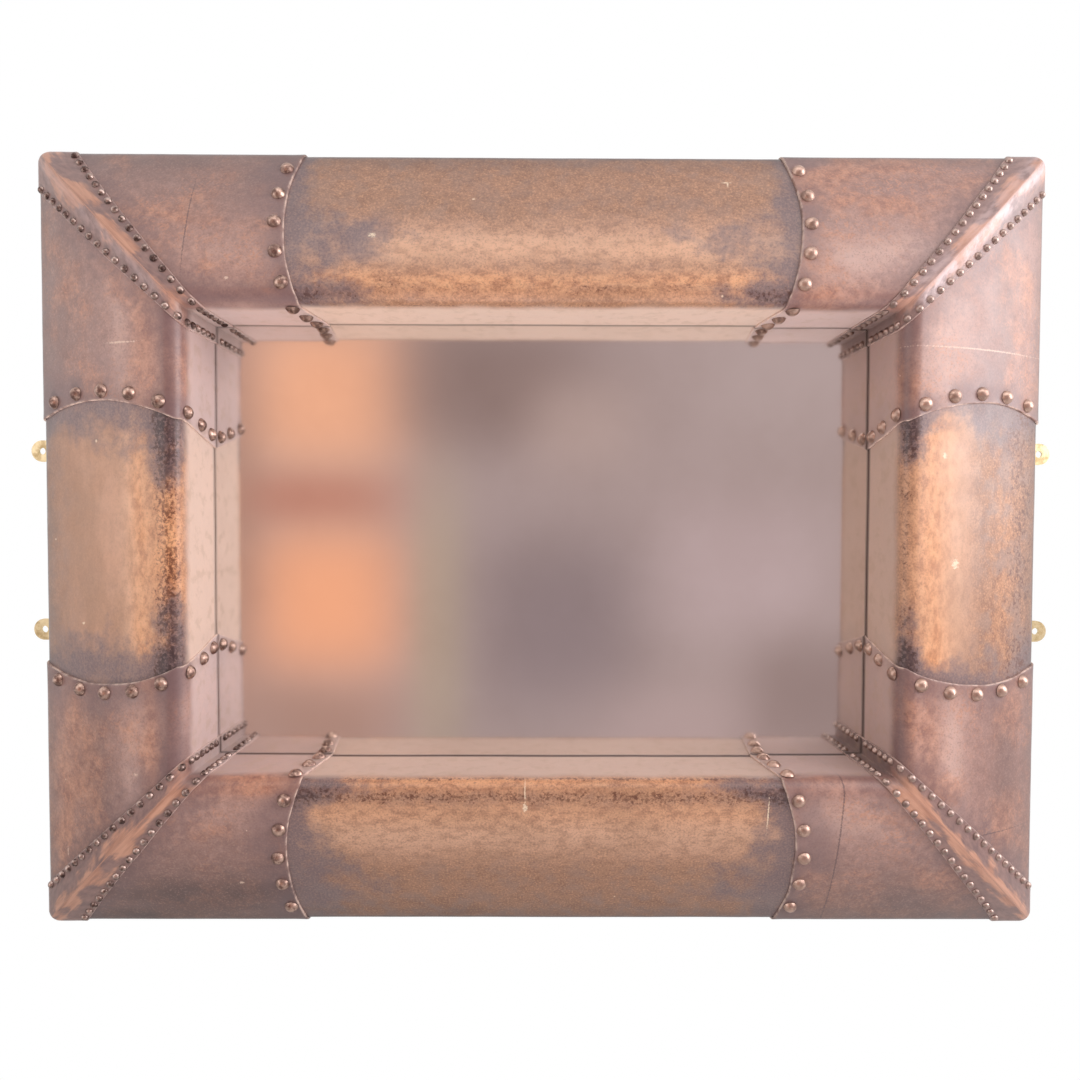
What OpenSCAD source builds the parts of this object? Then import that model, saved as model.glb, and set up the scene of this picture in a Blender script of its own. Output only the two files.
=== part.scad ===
// Leather framed wall mirror, hung flat on a wall at y = 0 and facing -Y, with +Z up.
// Each side of the frame is drawn lying on its back and then stood up by hang():
// s runs along the rail, u runs inward from its outer side and d runs forward from the wall.

/* [Frame] */
// Overall width over the corner straps
frame_w = 900; // [760:5:1200]
// Overall height over the corner straps
frame_h = 695; // [620:5:1000]
// Width of a rail, from its outer side to the opening
rail_w = 151; // [135:1:165]
// Depth from the wall to the crest at the shoulder
crest_d = 85; // [75:1:95]
// Radius of the bulge across the face of a rail
bulge_r = 330; // [300:5:420]
// Slope of the face where it meets the shoulder, in degrees
crest_slope = 8; // [6:0.5:12]
// Radius of the shoulder at the opening
shoulder_r = 14; // [12:0.5:18]
// Radius of the roll at the outer side
roll_r = 12; // [10:0.5:15]
// Radius of the outer corners, seen from the front
corner_r = 12; // [9:0.5:16]

/* [Leather] */
// Thickness of the centre panels
centre_t = 1.8; // [1.2:0.1:2.4]
// Thickness of the end panels where they lap the centre panels
end_t = 1.6; // [1.2:0.1:2.4]
// Thickness of the corner straps
strap_t = 1.4; // [1:0.1:2]
// Length of centre panel hidden under each end panel
lap = 14; // [12:0.5:18]
// Width of leather turned over the back edge
return_w = 18; // [17:0.5:22]
// Gap between the wall leather and the glass
glass_gap = 0.5; // [0.3:0.1:1]
// Clearance between layers of leather
layer_gap = 0.1; // [0.05:0.05:0.2]

/* [Seams] */
// Half length of the long centre panels at the outer side
long_seam_out = 211; // [190:1:240]
// Half length of the long centre panels at their widest
long_seam_mid = 218; // [200:1:240]
// Half length of the long centre panels at the arris
long_seam_in = 204; // [180:1:225]
// Half length of the long centre panels at the glass
long_seam_glass = 195; // [172:1:217]
// Half length of the short centre panels at the outer side
short_seam_out = 107; // [95:1:115]
// Half length of the short centre panels at their widest
short_seam_mid = 120; // [108:1:128]
// Half length of the short centre panels at the arris
short_seam_in = 104; // [92:1:110]
// Half length of the short centre panels at the glass
short_seam_glass = 86; // [76:1:92]
// Distance from the outer side to where a seam is widest
seam_mid_u = 86; // [72:1:94]

/* [Straps] */
// Distance from the mitre to a nail row at the outer side
strap_row_out = 31; // [28:0.5:36]
// Distance from the mitre to a nail row at the opening
strap_row_in = 11; // [9:0.5:13]
// Leather beyond the nail row
strap_edge = 4.5; // [4:0.25:6]

/* [Nails] */
// Diameter of the seam nails
seam_nail_d = 12; // [10:0.5:13]
// Height of a seam nail's dome
seam_nail_h = 4.4; // [3:0.1:5]
// Seam nails on one seam
seam_nail_count = 8; // [6:1:8]
// Distance from the cut edge to the seam nails
seam_nail_inset = 7.8; // [6.5:0.1:8.5]
// Diameter of the strap nails
strap_nail_d = 6.5; // [6:0.5:8]
// Height of a strap nail's dome
strap_nail_h = 2.6; // [2:0.1:3]
// Strap nails in one row
strap_nail_count = 23; // [16:1:24]
// Distance along the girth from the foot of the roll to the first seam nail
seam_nail_start = 28; // [16:0.5:34]
// Distance along the girth from the foot of the roll to the first strap nail
strap_nail_start = 15; // [8:0.5:20]
// How far the seam nails close up towards the glass, with 1 for an even pitch
seam_nail_taper = 1.15; // [1:0.05:1.3]
// Distance from the wall leather's edge to the last nail
nail_foot = 9; // [8:0.5:14]

/* [Mirror] */
// Distance from the wall to the front of the glass
glass_d = 16; // [14:0.5:18]
// Thickness of the glass
glass_t = 4; // [3:0.5:5]
// Width of the rebate that the glass sits in
rebate_w = 10; // [8:0.5:14]
// Clearance round the glass and the board
rebate_gap = 1; // [0.5:0.25:2]
// Width of a spacer strip
spacer_w = 6; // [5:0.5:8]
// Thickness of the backing board
board_t = 4; // [3:0.5:5]
// Width of the ledge that the backing board is screwed to
board_ledge = 20; // [16:1:24]
// Backing board screws along a long side
long_screws = 4; // [3:1:6]
// Backing board screws along a short side
short_screws = 3; // [2:1:4]

/* [Wall plates] */
// Distance from the frame's side out to the plate holes
plate_reach = 20; // [17:1:26]
// Distance between the plate holes up the frame
hole_span_z = 168; // [140:2:180]
// Diameter of the plate holes
plate_hole_d = 6.4; // [5:0.1:7]
// Thickness of a plate
plate_t = 2; // [1.5:0.5:3]
// Radius of a plate's round lobe
lobe_r = 10; // [8:0.5:12]
// Length of a plate along the frame's side
plate_len = 46; // [42:1:60]
// Distance between a plate's two fixing screws
plate_screw_span = 30; // [26:1:34]
// Diameter of the screws
screw_d = 4; // [3:0.25:4.5]
// Diameter of the screw heads
screw_head_d = 8; // [7:0.25:9]
// Length of the screws
screw_len = 16; // [12:1:20]
// Distance from the end screws of the board to the opening's corners
screw_inset = 40; // [30:5:60]

/* [Hidden] */
$fn = 96;

// Sides of the frame, numbered anticlockwise as seen from the front
BOTTOM = 0;
RIGHT = 1;
TOP = 2;
LEFT = 3;

// How far each layer lies inside the outermost surface
strap_i = 0;
end_i = strap_t;
centre_i = end_i + end_t;
wood_i = centre_i + centre_t;
wood_back = plate_t + centre_t;

// A margin that cutting shapes run past the solids
over = 2;

// Angle of the surface's normal on the outer side
side_a = 180;

// Centres of the three arcs of the girth, in u and d
shoulder_c = [rail_w - shoulder_r, crest_d - shoulder_r];
crest_a = 90 + crest_slope;
bulge_c = shoulder_c - (bulge_r - shoulder_r) * [cos(crest_a), sin(crest_a)];
roll_c = [roll_r, bulge_c[1] + sqrt(pow(bulge_r - roll_r, 2) - pow(bulge_c[0] - roll_r, 2))];
roll_a = atan2(roll_c[1] - bulge_c[1], roll_c[0] - bulge_c[0]);

// The arris, part way round the shoulder, where the seams leave their arcs for the wall
arris_share = 0.5;
wall_u = shoulder_c[0] + arris_share * shoulder_r;

// Depth of the timber at the arris, from which the seams slant down the wall to the glass
fold_d = shoulder_c[1] + sqrt(pow(shoulder_r - wood_i, 2) - pow(wall_u - shoulder_c[0], 2));

// A small step at the arris, so that the two cuts of a seam never share an edge
seam_step = 0.2;

function is_long(k) = k % 2 == 0;
function side_len(k) = is_long(k) ? frame_w : frame_h;
function half_across(k) = (is_long(k) ? frame_h : frame_w) / 2;
function along(a) = [cos(a), sin(a)];
function rad(a) = a * PI / 180;

// Seam arc of a side as [centre s, centre u, radius], through its three named half lengths
function seam_out(k) = is_long(k) ? long_seam_out : short_seam_out;
function seam_mid(k) = is_long(k) ? long_seam_mid : short_seam_mid;
function seam_in(k) = is_long(k) ? long_seam_in : short_seam_in;
function seam_glass(k) = is_long(k) ? long_seam_glass : short_seam_glass;
function det(a, b) = a[0] * b[1] - a[1] * b[0];
function arc_centre(a, b, c) =
    let (p = b - a, q = c - a, m = 2 * det(p, q))
    a + [q[1] * (p * p) - p[1] * (q * q), p[0] * (q * q) - q[0] * (p * p)] / m;
function seam_arc_c(k) =
    arc_centre([seam_out(k), 0], [seam_mid(k), seam_mid_u], [seam_in(k), wall_u]);
function seam_arc_r(k) = norm([seam_out(k), 0] - seam_arc_c(k));

// Half length of a seam moved towards the corner by extra: on its arc, on the wall, and at
// any point of the girth
function arc_s(k, u, extra) =
    seam_arc_c(k)[0] + sqrt(pow(seam_arc_r(k) + extra, 2) - pow(u - seam_arc_c(k)[1], 2));
function wall_s(k, d, extra) =
    arc_s(k, wall_u, extra) - seam_step
    - (seam_in(k) - seam_glass(k)) * max(0, fold_d - d) / (fold_d - glass_d);
function seam_s(k, p, extra) = p[0] < wall_u ? arc_s(k, p[0], extra) : wall_s(k, p[1], extra);

// The girth of a layer: roll, bulge, shoulder, then the wall down to the glass
function roll_len(i) = (roll_r - i) * rad(side_a - roll_a);
function bulge_len(i) = (bulge_r - i) * rad(roll_a - crest_a);
function shoulder_len(i) = (shoulder_r - i) * rad(crest_a);
function face_len(i) = roll_len(i) + bulge_len(i);
function girth_len(i) =
    face_len(i) + shoulder_len(i) + shoulder_c[1] - glass_d;

// Point of the girth g along it, as [u, d, angle of the surface's normal]
function girth_at(i, g) =
    g < roll_len(i) ? arc_at(roll_c, roll_r - i, side_a - g / rad(roll_r - i))
    : g < face_len(i)
        ? arc_at(bulge_c, bulge_r - i, roll_a - (g - roll_len(i)) / rad(bulge_r - i))
    : g < face_len(i) + shoulder_len(i)
        ? arc_at(shoulder_c, shoulder_r - i, crest_a - (g - face_len(i)) / rad(shoulder_r - i))
    : [rail_w - i, shoulder_c[1] - (g - face_len(i) - shoulder_len(i)), 0];
function arc_at(c, r, a) = [c[0] + r * cos(a), c[1] + r * sin(a), a];

module hang() rotate([90, 0, 0]) children();
module on_side(k) rotate([0, 0, 90 * k]) translate([0, -half_across(k), 0]) children();
module run(length) translate([-length / 2, 0, 0]) rotate([90, 0, 90]) linear_extrude(length) children();

// What is left outside an arc between two angles, so that taking it away rounds a corner
module corner_waste(c, r, a0, a1) {
    far = 4 * shoulder_r;
    difference() {
        polygon([c, c + far * along(a0), c + 2 * far * along((a0 + a1) / 2), c + far * along(a1)]);
        translate(c) circle(r);
    }
}

// Section of a rail at a layer i inside the outermost surface
module girth(i, back) difference() {
    intersection() {
        translate(bulge_c) circle(bulge_r - i, $fn = 720);
        translate([i, back]) square([rail_w - 2 * i, crest_d]);
    }
    corner_waste(shoulder_c, shoulder_r - i, 0, crest_a);
    corner_waste(roll_c, roll_r - i, roll_a, side_a);
}

// Plan of the whole frame at a layer, in a side's own place
module outline(k, i) translate([0, half_across(k)]) {
    a = side_len(k) / 2 - i;
    b = half_across(k) - i;
    r = corner_r - i;
    square([2 * (a - r), 2 * b], center = true);
    square([2 * a, 2 * (b - r)], center = true);
    for (sx = [-1, 1], sy = [-1, 1]) translate([sx * (a - r), sy * (b - r)]) circle(r);
}

module mitred(k) {
    a = side_len(k) / 2;
    polygon([[-a, 0], [a, 0], [a - rail_w, rail_w], [rail_w - a, rail_w]]);
}

// One side of the frame at a layer, mitred and with its outer corners rounded
module side_body(k, i, back) intersection() {
    run(side_len(k)) girth(i, back);
    linear_extrude(crest_d + over) intersection() {
        mitred(k);
        outline(k, i);
    }
}

// Everything between a side's two seams, each moved towards the corner by extra
module between_seams(k, extra) {
    c = seam_arc_c(k);
    linear_extrude(crest_d + over) intersection() {
        translate([-side_len(k) / 2, -over]) square([side_len(k), wall_u + over]);
        union() {
            for (e = [0, 1]) mirror([e, 0]) intersection() {
                translate(c) circle(seam_arc_r(k) + extra, $fn = 720);
                translate([0, -over]) square([side_len(k), rail_w]);
            }
        }
    }
    low = wall_s(k, 0, extra);
    high = wall_s(k, fold_d, extra);
    top = crest_d + over;
    translate([0, rail_w + over, 0]) rotate([90, 0, 0]) linear_extrude(rail_w - wall_u + over)
        polygon([[-low, 0], [low, 0], [high, fold_d], [high, top], [-high, top], [-high, fold_d]]);
}

// Room inside the leather: the timber, the open back and the strip just above the glass
module inside_leather(k) {
    side_body(k, wood_i - layer_gap, wood_back - layer_gap);
    run(side_len(k)) translate([return_w, -over])
        square([rail_w, glass_d + glass_gap + over]);
}

module rail(k) color("burlywood") hang() on_side(k) difference() {
    side_body(k, wood_i, wood_back);
    run(side_len(k)) translate([rail_w - wood_i - rebate_w, 0]) square([rail_w, glass_d]);
    run(side_len(k)) translate([rail_w - wood_i - board_ledge, 0])
        square([rail_w, wood_back + board_t]);
    board_screw_places(k) screw_hole();
    plate_screw_places(k) screw_hole();
}

module centre_leather(k) color([0.72, 0.51, 0.27]) hang() on_side(k) difference() {
    intersection() {
        side_body(k, centre_i, plate_t);
        between_seams(k, lap - layer_gap);
    }
    inside_leather(k);
    plate_screw_places(k) screw_hole();
}

module end_leather(k, e) color([0.42, 0.2, 0.12]) hang() on_side(k) intersection() {
    difference() {
        side_body(k, end_i, plate_t);
        inside_leather(k);
        between_seams(k, 0);
        intersection() {
            side_body(k, centre_i - layer_gap, 0);
            between_seams(k, lap);
        }
    }
    translate([e > 0 ? 0 : -side_len(k), -over, 0]) cube([side_len(k), rail_w + 2 * over, crest_d + over]);
}

// Plan of the half of a strap that lies on one side, at that side's end e
module strap_plan(k, e) {
    a = side_len(k) / 2;
    wide = strap_row_out + strap_edge;
    narrow = strap_row_in + strap_edge;
    polygon([[e * (a - wide), 0], [e * a, 0], [e * (a - rail_w), rail_w],
        [e * (a - rail_w - narrow), rail_w]]);
}

module strap_half(k, e) on_side(k) difference() {
    intersection() {
        side_body(k, strap_i, plate_t);
        linear_extrude(crest_d + over) strap_plan(k, e);
    }
    side_body(k, end_i - layer_gap, 0);
    run(side_len(k)) translate([return_w, -over]) square([rail_w, glass_d + glass_gap + over]);
}

module strap(k) color([0.33, 0.16, 0.1]) hang() {
    strap_half(k, -1);
    strap_half((k + 3) % 4, 1);
}

// A domed nail head, flat side on the leather
module nail(d, h) {
    r = (d * d / 4 + h * h) / (2 * h);
    rotate_extrude() intersection() {
        translate([0, h - r]) circle(r);
        square([d, h + over]);
    }
}

module stand_nail(s, p) translate([s, p[0], p[1]]) rotate([p[2] - 90, 0, 0]) children();

module seam_nails(k) color([0.45, 0.33, 0.2]) hang() on_side(k) {
    i = end_i - layer_gap;
    last = girth_len(i) - nail_foot - glass_gap;
    for (e = [-1, 1], n = [0 : seam_nail_count - 1]) {
        t = 1 - pow(1 - n / (seam_nail_count - 1), seam_nail_taper);
        p = girth_at(i, seam_nail_start + (last - seam_nail_start) * t);
        stand_nail(e * seam_s(k, p, seam_nail_inset), p) nail(seam_nail_d, seam_nail_h);
    }
}

module strap_row(k, e) on_side(k) {
    i = strap_i - layer_gap;
    last = girth_len(i) - nail_foot - glass_gap;
    for (n = [0 : strap_nail_count - 1]) {
        t = n / (strap_nail_count - 1);
        p = girth_at(i, strap_nail_start + (last - strap_nail_start) * t);
        w = strap_row_out + (strap_row_in - strap_row_out) * p[0] / rail_w;
        stand_nail(e * (side_len(k) / 2 - p[0] - w), p) nail(strap_nail_d, strap_nail_h);
    }
}

module strap_nails(k) color([0.4, 0.3, 0.2]) hang() {
    strap_row(k, -1);
    strap_row((k + 3) % 4, 1);
}

// Half sizes of a plate laid in the rebates, wide by the given step
function bay(step) = [frame_w, frame_h] / 2 - (rail_w - wood_i - step + rebate_gap) * [1, 1];

module sheet_in(half, t) linear_extrude(t) square(2 * half, center = true);

module mirror_glass() color([0.75, 0.77, 0.78]) hang()
    translate([0, 0, glass_d - glass_t]) sheet_in(bay(rebate_w), glass_t);

module glass_spacers() color("tan") hang() for (k = [BOTTOM : LEFT]) on_side(k) {
    step = rail_w - wood_i - rebate_w + rebate_gap;
    a = side_len(k) / 2 - step;
    translate([0, 0, wood_back + board_t]) linear_extrude(glass_d - glass_t - wood_back - board_t)
        polygon([[-a, step], [a, step], [a - spacer_w, step + spacer_w], [spacer_w - a, step + spacer_w]]);
}

module backing_board() color("saddlebrown") hang() difference() {
    translate([0, 0, wood_back]) sheet_in(bay(board_ledge), board_t);
    for (k = [BOTTOM : LEFT]) on_side(k) board_screw_places(k) screw_hole();
}

// A countersunk screw driven forward from the back, head flush at d = 0
module screw(grow) {
    head_h = (screw_head_d - screw_d) / 2;
    if (grow > 0) translate([0, 0, -over]) cylinder(d = screw_head_d + 2 * grow, h = over);
    cylinder(d1 = screw_head_d + 2 * grow, d2 = screw_d + 2 * grow, h = head_h);
    cylinder(d = screw_d + 2 * grow, h = screw_len + grow);
}
module screw_hole() screw(layer_gap);

module board_screw_places(k) {
    u = rail_w - wood_i - (board_ledge + rebate_w) / 2;
    n = is_long(k) ? long_screws : short_screws;
    pitch = (side_len(k) - 2 * rail_w - 2 * screw_inset) / (n - 1);
    for (j = [0 : n - 1]) translate([(j - (n - 1) / 2) * pitch, u, wood_back]) children();
}

module plate_screw_places(k) if (!is_long(k)) {
    for (z = [-1, 1], e = [-1, 1])
        translate([z * hole_span_z / 2 + e * plate_screw_span / 2, return_w / 2 + end_i, 0]) children();
}

module backing_screws() color("silver") hang()
    for (k = [BOTTOM : LEFT]) on_side(k) board_screw_places(k) screw(0);

module plate_screws() color("goldenrod") hang()
    for (k = [RIGHT, LEFT]) on_side(k) plate_screw_places(k) screw(0);

// A plate on side k, with its hole at s
module wall_plate(k, s) color([0.8, 0.62, 0.3]) hang() on_side(k) difference() {
    linear_extrude(plate_t) difference() {
        union() {
            translate([s - plate_len / 2, centre_i]) square([plate_len, return_w - centre_i]);
            translate([s - lobe_r, -plate_reach]) square([2 * lobe_r, plate_reach + return_w]);
            translate([s, -plate_reach]) circle(lobe_r);
        }
        translate([s, -plate_reach]) circle(d = plate_hole_d);
    }
    plate_screw_places(k) screw_hole();
}

rail(BOTTOM);  // rail_bottom
rail(RIGHT);  // rail_right
rail(TOP);  // rail_top
rail(LEFT);  // rail_left
centre_leather(BOTTOM);  // centre_leather_bottom
centre_leather(RIGHT);  // centre_leather_right
centre_leather(TOP);  // centre_leather_top
centre_leather(LEFT);  // centre_leather_left
end_leather(BOTTOM, -1);  // end_leather_bottom_a
end_leather(BOTTOM, 1);  // end_leather_bottom_b
end_leather(RIGHT, -1);  // end_leather_right_a
end_leather(RIGHT, 1);  // end_leather_right_b
end_leather(TOP, -1);  // end_leather_top_a
end_leather(TOP, 1);  // end_leather_top_b
end_leather(LEFT, -1);  // end_leather_left_a
end_leather(LEFT, 1);  // end_leather_left_b
strap(BOTTOM);  // strap_bottom_left
strap(RIGHT);  // strap_bottom_right
strap(TOP);  // strap_top_right
strap(LEFT);  // strap_top_left
seam_nails(BOTTOM);  // seam_nails_bottom
seam_nails(RIGHT);  // seam_nails_right
seam_nails(TOP);  // seam_nails_top
seam_nails(LEFT);  // seam_nails_left
strap_nails(BOTTOM);  // strap_nails_bottom_left
strap_nails(RIGHT);  // strap_nails_bottom_right
strap_nails(TOP);  // strap_nails_top_right
strap_nails(LEFT);  // strap_nails_top_left
mirror_glass();
glass_spacers();
backing_board();
backing_screws();
wall_plate(LEFT, hole_span_z / 2);  // wall_plate_left_low
wall_plate(LEFT, -hole_span_z / 2);  // wall_plate_left_high
wall_plate(RIGHT, -hole_span_z / 2);  // wall_plate_right_low
wall_plate(RIGHT, hole_span_z / 2);  // wall_plate_right_high
plate_screws();
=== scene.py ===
# Leather framed wall mirror: its leather, finishes and light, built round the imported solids.
# Lengths are in metres. On each side of the frame s runs along the rail, u runs inward from
# its outer side and d runs forward from the wall, as in the solids.
from math import atan2, ceil, cos, pi, radians, sin, sqrt

import bmesh
import bpy
import numpy as np
from mathutils import Matrix, Vector


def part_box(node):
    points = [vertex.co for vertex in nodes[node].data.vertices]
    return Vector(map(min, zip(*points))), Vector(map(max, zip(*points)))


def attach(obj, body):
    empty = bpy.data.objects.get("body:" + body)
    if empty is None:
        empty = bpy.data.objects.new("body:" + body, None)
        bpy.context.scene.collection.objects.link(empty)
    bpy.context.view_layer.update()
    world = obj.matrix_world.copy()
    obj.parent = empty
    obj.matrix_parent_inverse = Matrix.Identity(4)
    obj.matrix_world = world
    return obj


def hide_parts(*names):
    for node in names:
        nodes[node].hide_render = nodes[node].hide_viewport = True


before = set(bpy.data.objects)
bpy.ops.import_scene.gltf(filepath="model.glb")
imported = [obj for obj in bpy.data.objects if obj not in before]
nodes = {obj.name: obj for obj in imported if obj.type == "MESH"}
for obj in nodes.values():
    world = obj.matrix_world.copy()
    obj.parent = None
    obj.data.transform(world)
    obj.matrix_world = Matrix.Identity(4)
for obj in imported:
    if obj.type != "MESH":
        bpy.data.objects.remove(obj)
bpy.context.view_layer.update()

MM = 0.001

# Sides are numbered anticlockwise as seen from the front, and a corner has its side's number
# at that side's low end
SIDES = ["bottom", "right", "top", "left"]
CORNERS = ["bottom_left", "bottom_right", "top_right", "top_left"]

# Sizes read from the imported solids
frame_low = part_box("strap_bottom_left")[0]
frame_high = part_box("strap_top_right")[1]
FRAME_W = frame_high.x - frame_low.x
FRAME_H = frame_high.z - frame_low.z
CREST_D = -frame_low.y
GLASS_D = -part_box("mirror_glass")[0].y
PLATE_T = -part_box("wall_plate_left_low")[0].y

# The section of a rail
RAIL_W = 151 * MM
BULGE_R = 330 * MM
CREST_SLOPE = radians(8)
SHOULDER_R = 14 * MM
ROLL_R = 12 * MM
CORNER_R = 12 * MM

# Leather
CENTRE_T = 1.8 * MM
END_T = 1.6 * MM
STRAP_T = 1.4 * MM
LAYER_GAP = 0.1 * MM
GLASS_GAP = 0.5 * MM
RETURN_W = 18 * MM
FOLD_R = 2.2 * MM
LAP = 14 * MM
RAW_EDGE = 0.9 * MM
# How far under the strap's outer surface the end leather, the centre leather and the wood lie
END_I = STRAP_T
CENTRE_I = END_I + END_T
WOOD_I = CENTRE_I + CENTRE_T

# Half lengths of the centre panels on the long and the short sides: at the outer side, at
# their widest, at the arris and at the glass
SEAM = {0: (211 * MM, 218 * MM, 204 * MM, 195 * MM), 1: (107 * MM, 120 * MM, 104 * MM, 86 * MM)}
SEAM_MID_U = 86 * MM
SEAM_STEP = 0.2 * MM
ARRIS_SHARE = 0.5

# Corner straps, from the mitre to a nail row at the outer side and at the opening
STRAP_ROW_OUT = 31 * MM
STRAP_ROW_IN = 11 * MM
STRAP_EDGE = 4.5 * MM

# Nails
SEAM_NAIL_R = 6 * MM
SEAM_NAILS = 8
SEAM_NAIL_INSET = 7.8 * MM
SEAM_NAIL_START = 28 * MM
SEAM_NAIL_TAPER = 1.15
STRAP_NAIL_R = 3.25 * MM
STRAP_NAILS = 23
STRAP_NAIL_START = 15 * MM
# Girth from the last nail of a row to the end of its leather at the glass
NAIL_FOOT = 9 * MM


def put(name, data):
    """A new object in the scene."""
    made = bpy.data.objects.new(name, data)
    bpy.context.scene.collection.objects.link(made)
    return made


# The camera, fitted to the outline, the mitres and the glass in the photograph. Its lens is in mm
# and its turns in radians

CAMERA_LENS = 24
CAMERA_AT = Vector((-4.94, -682.84, 19.04)) * MM
CAMERA_PITCH = 0.0255
CAMERA_YAW = 0.0046
CAMERA_ROLL = -0.0029


def make_camera():
    """The view of the photograph."""
    data = bpy.data.cameras.new("camera")
    data.lens = CAMERA_LENS
    camera = put("camera", data)
    turn = (Matrix.Rotation(CAMERA_ROLL, 3, "Z") @ Matrix.Rotation(CAMERA_PITCH, 3, "X")
            @ Matrix.Rotation(CAMERA_YAW, 3, "Y"))
    # A camera looks down until it is stood up to look along the y axis
    stand = Matrix(((1, 0, 0), (0, 0, -1), (0, 1, 0)))
    camera.matrix_world = Matrix.Translation(CAMERA_AT) @ (stand @ turn.transposed()).to_4x4()
    bpy.context.scene.camera = camera


# The section of the frame

shoulder_c = np.array([RAIL_W - SHOULDER_R, CREST_D - SHOULDER_R])
crest_a = pi / 2 + CREST_SLOPE
bulge_c = shoulder_c - (BULGE_R - SHOULDER_R) * np.array([cos(crest_a), sin(crest_a)])
roll_c = np.array([ROLL_R, bulge_c[1] + sqrt((BULGE_R - ROLL_R) ** 2 - (bulge_c[0] - ROLL_R) ** 2)])
roll_a = atan2(roll_c[1] - bulge_c[1], roll_c[0] - bulge_c[0])
WALL_U = shoulder_c[0] + ARRIS_SHARE * SHOULDER_R
FOLD_D = shoulder_c[1] + sqrt((SHOULDER_R - WOOD_I) ** 2 - (WALL_U - shoulder_c[0]) ** 2)


def side_len(k):
    """Length of a side of the frame."""
    return FRAME_W if k % 2 == 0 else FRAME_H


def half_across(k):
    """Distance from the middle of the frame to the outer side of a rail."""
    return (FRAME_H if k % 2 == 0 else FRAME_W) / 2


def straight(start, end, angle):
    """A straight stretch of the section, as its length and a function from 0..1 to u, d, angle."""
    start, end = np.array(start), np.array(end)
    return float(np.linalg.norm(end - start)), lambda t: (*(start + (end - start) * t), angle)


def bend(centre, radius, start, end):
    """An arc of the section, as its length and a function from 0..1 to u, d, angle."""
    def at(t):
        a = start + (end - start) * t
        return centre[0] + radius * cos(a), centre[1] + radius * sin(a), a
    return radius * abs(end - start), at


def girth_stretches(inset, returned):
    """Stretches of a layer's section from its back edge to the glass, and the girth where it starts.
    The girth counts from the foot of the roll."""
    before = []
    foot = PLATE_T
    if returned:
        foot += FOLD_R
        before = [
            straight((RETURN_W, PLATE_T), (inset + FOLD_R, PLATE_T), -pi / 2),
            bend((inset + FOLD_R, PLATE_T + FOLD_R), FOLD_R, -pi / 2, -pi),
        ]
    before.append(straight((inset, foot), (inset, roll_c[1]), -pi))
    after = [
        bend(roll_c, ROLL_R - inset, pi, roll_a),
        bend(bulge_c, BULGE_R - inset, roll_a, crest_a),
        bend(shoulder_c, SHOULDER_R - inset, crest_a, 0),
        straight((RAIL_W - inset, shoulder_c[1]), (RAIL_W - inset, GLASS_D + GLASS_GAP), 0),
    ]
    return before + after, -sum(length for length, _ in before)


def girth_rows(inset, returned, step):
    """Points along a layer's section, as columns u, d, normal u, normal d and girth."""
    stretches, g = girth_stretches(inset, returned)
    rows = []
    for length, at in stretches:
        count = max(3, ceil(length / step))
        for j in range(count + (at is stretches[-1][1])):
            u, d, angle = at(j / count)
            rows.append((u, d, cos(angle), sin(angle), g + length * j / count))
        g += length
    return np.array(rows)


def girth_end(inset):
    """Girth of a layer at the glass."""
    stretches, start = girth_stretches(inset, False)
    return start + sum(length for length, _ in stretches)


def at_girth(inset, g):
    """The point u, d of a layer at a girth on or past the roll."""
    stretches, start = girth_stretches(inset, False)
    for length, at in stretches:
        if g <= start + length:
            return at((g - start) / length)[:2]
        start += length
    return stretches[-1][1](1)[:2]


def seam_arc(k):
    """Centre s, centre u and radius of a side's seam, the arc through three of its places."""
    out, mid, inner, _ = SEAM[k % 2]
    points = np.array([[out, 0], [mid, SEAM_MID_U], [inner, WALL_U]])
    p, q = points[1] - points[0], points[2] - points[0]
    m = 2 * (p[0] * q[1] - p[1] * q[0])
    centre = points[0] + np.array([q[1] * (p @ p) - p[1] * (q @ q), p[0] * (q @ q) - q[0] * (p @ p)]) / m
    return centre[0], centre[1], float(np.linalg.norm(points[0] - centre))


def seam_s(k, u, d, extra):
    """Half length of a side's seam at points of the section, moved towards the corner by extra."""
    cs, cu, r = seam_arc(k)
    u, d = np.asarray(u, float), np.asarray(d, float)
    inner, glass = SEAM[k % 2][2:]
    arc = cs + np.sqrt((r + extra) ** 2 - (np.clip(u, 0, WALL_U) - cu) ** 2)
    slant = (inner - glass) * np.maximum(0, FOLD_D - d) / (FOLD_D - GLASS_D)
    return np.where(u < WALL_U, arc, arc - SEAM_STEP - slant)


def strap_reach(u):
    """Distance along the rail from the mitre to a strap's cut edge."""
    return STRAP_ROW_OUT + (STRAP_ROW_IN - STRAP_ROW_OUT) * u / RAIL_W + STRAP_EDGE


def seam_nails(k, end):
    """Places of the nails of one seam, as columns s and girth."""
    inset = END_I - LAYER_GAP
    last = girth_end(inset) - NAIL_FOOT
    places = []
    for n in range(SEAM_NAILS):
        t = 1 - (1 - n / (SEAM_NAILS - 1)) ** SEAM_NAIL_TAPER
        g = SEAM_NAIL_START + (last - SEAM_NAIL_START) * t
        places.append((end * float(seam_s(k, *at_girth(inset, g), SEAM_NAIL_INSET)), g))
    return np.array(places)


def strap_nails(k, end):
    """Places of the nails of one strap row, as columns s and girth."""
    inset = -LAYER_GAP
    last = girth_end(inset) - NAIL_FOOT
    places = []
    for n in range(STRAP_NAILS):
        g = STRAP_NAIL_START + (last - STRAP_NAIL_START) * n / (STRAP_NAILS - 1)
        u = at_girth(inset, g)[0]
        places.append((end * (side_len(k) / 2 - u - strap_reach(u) + STRAP_EDGE), g))
    return np.array(places)


# Keeps a division by zero away
TINY = 1e-9


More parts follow.
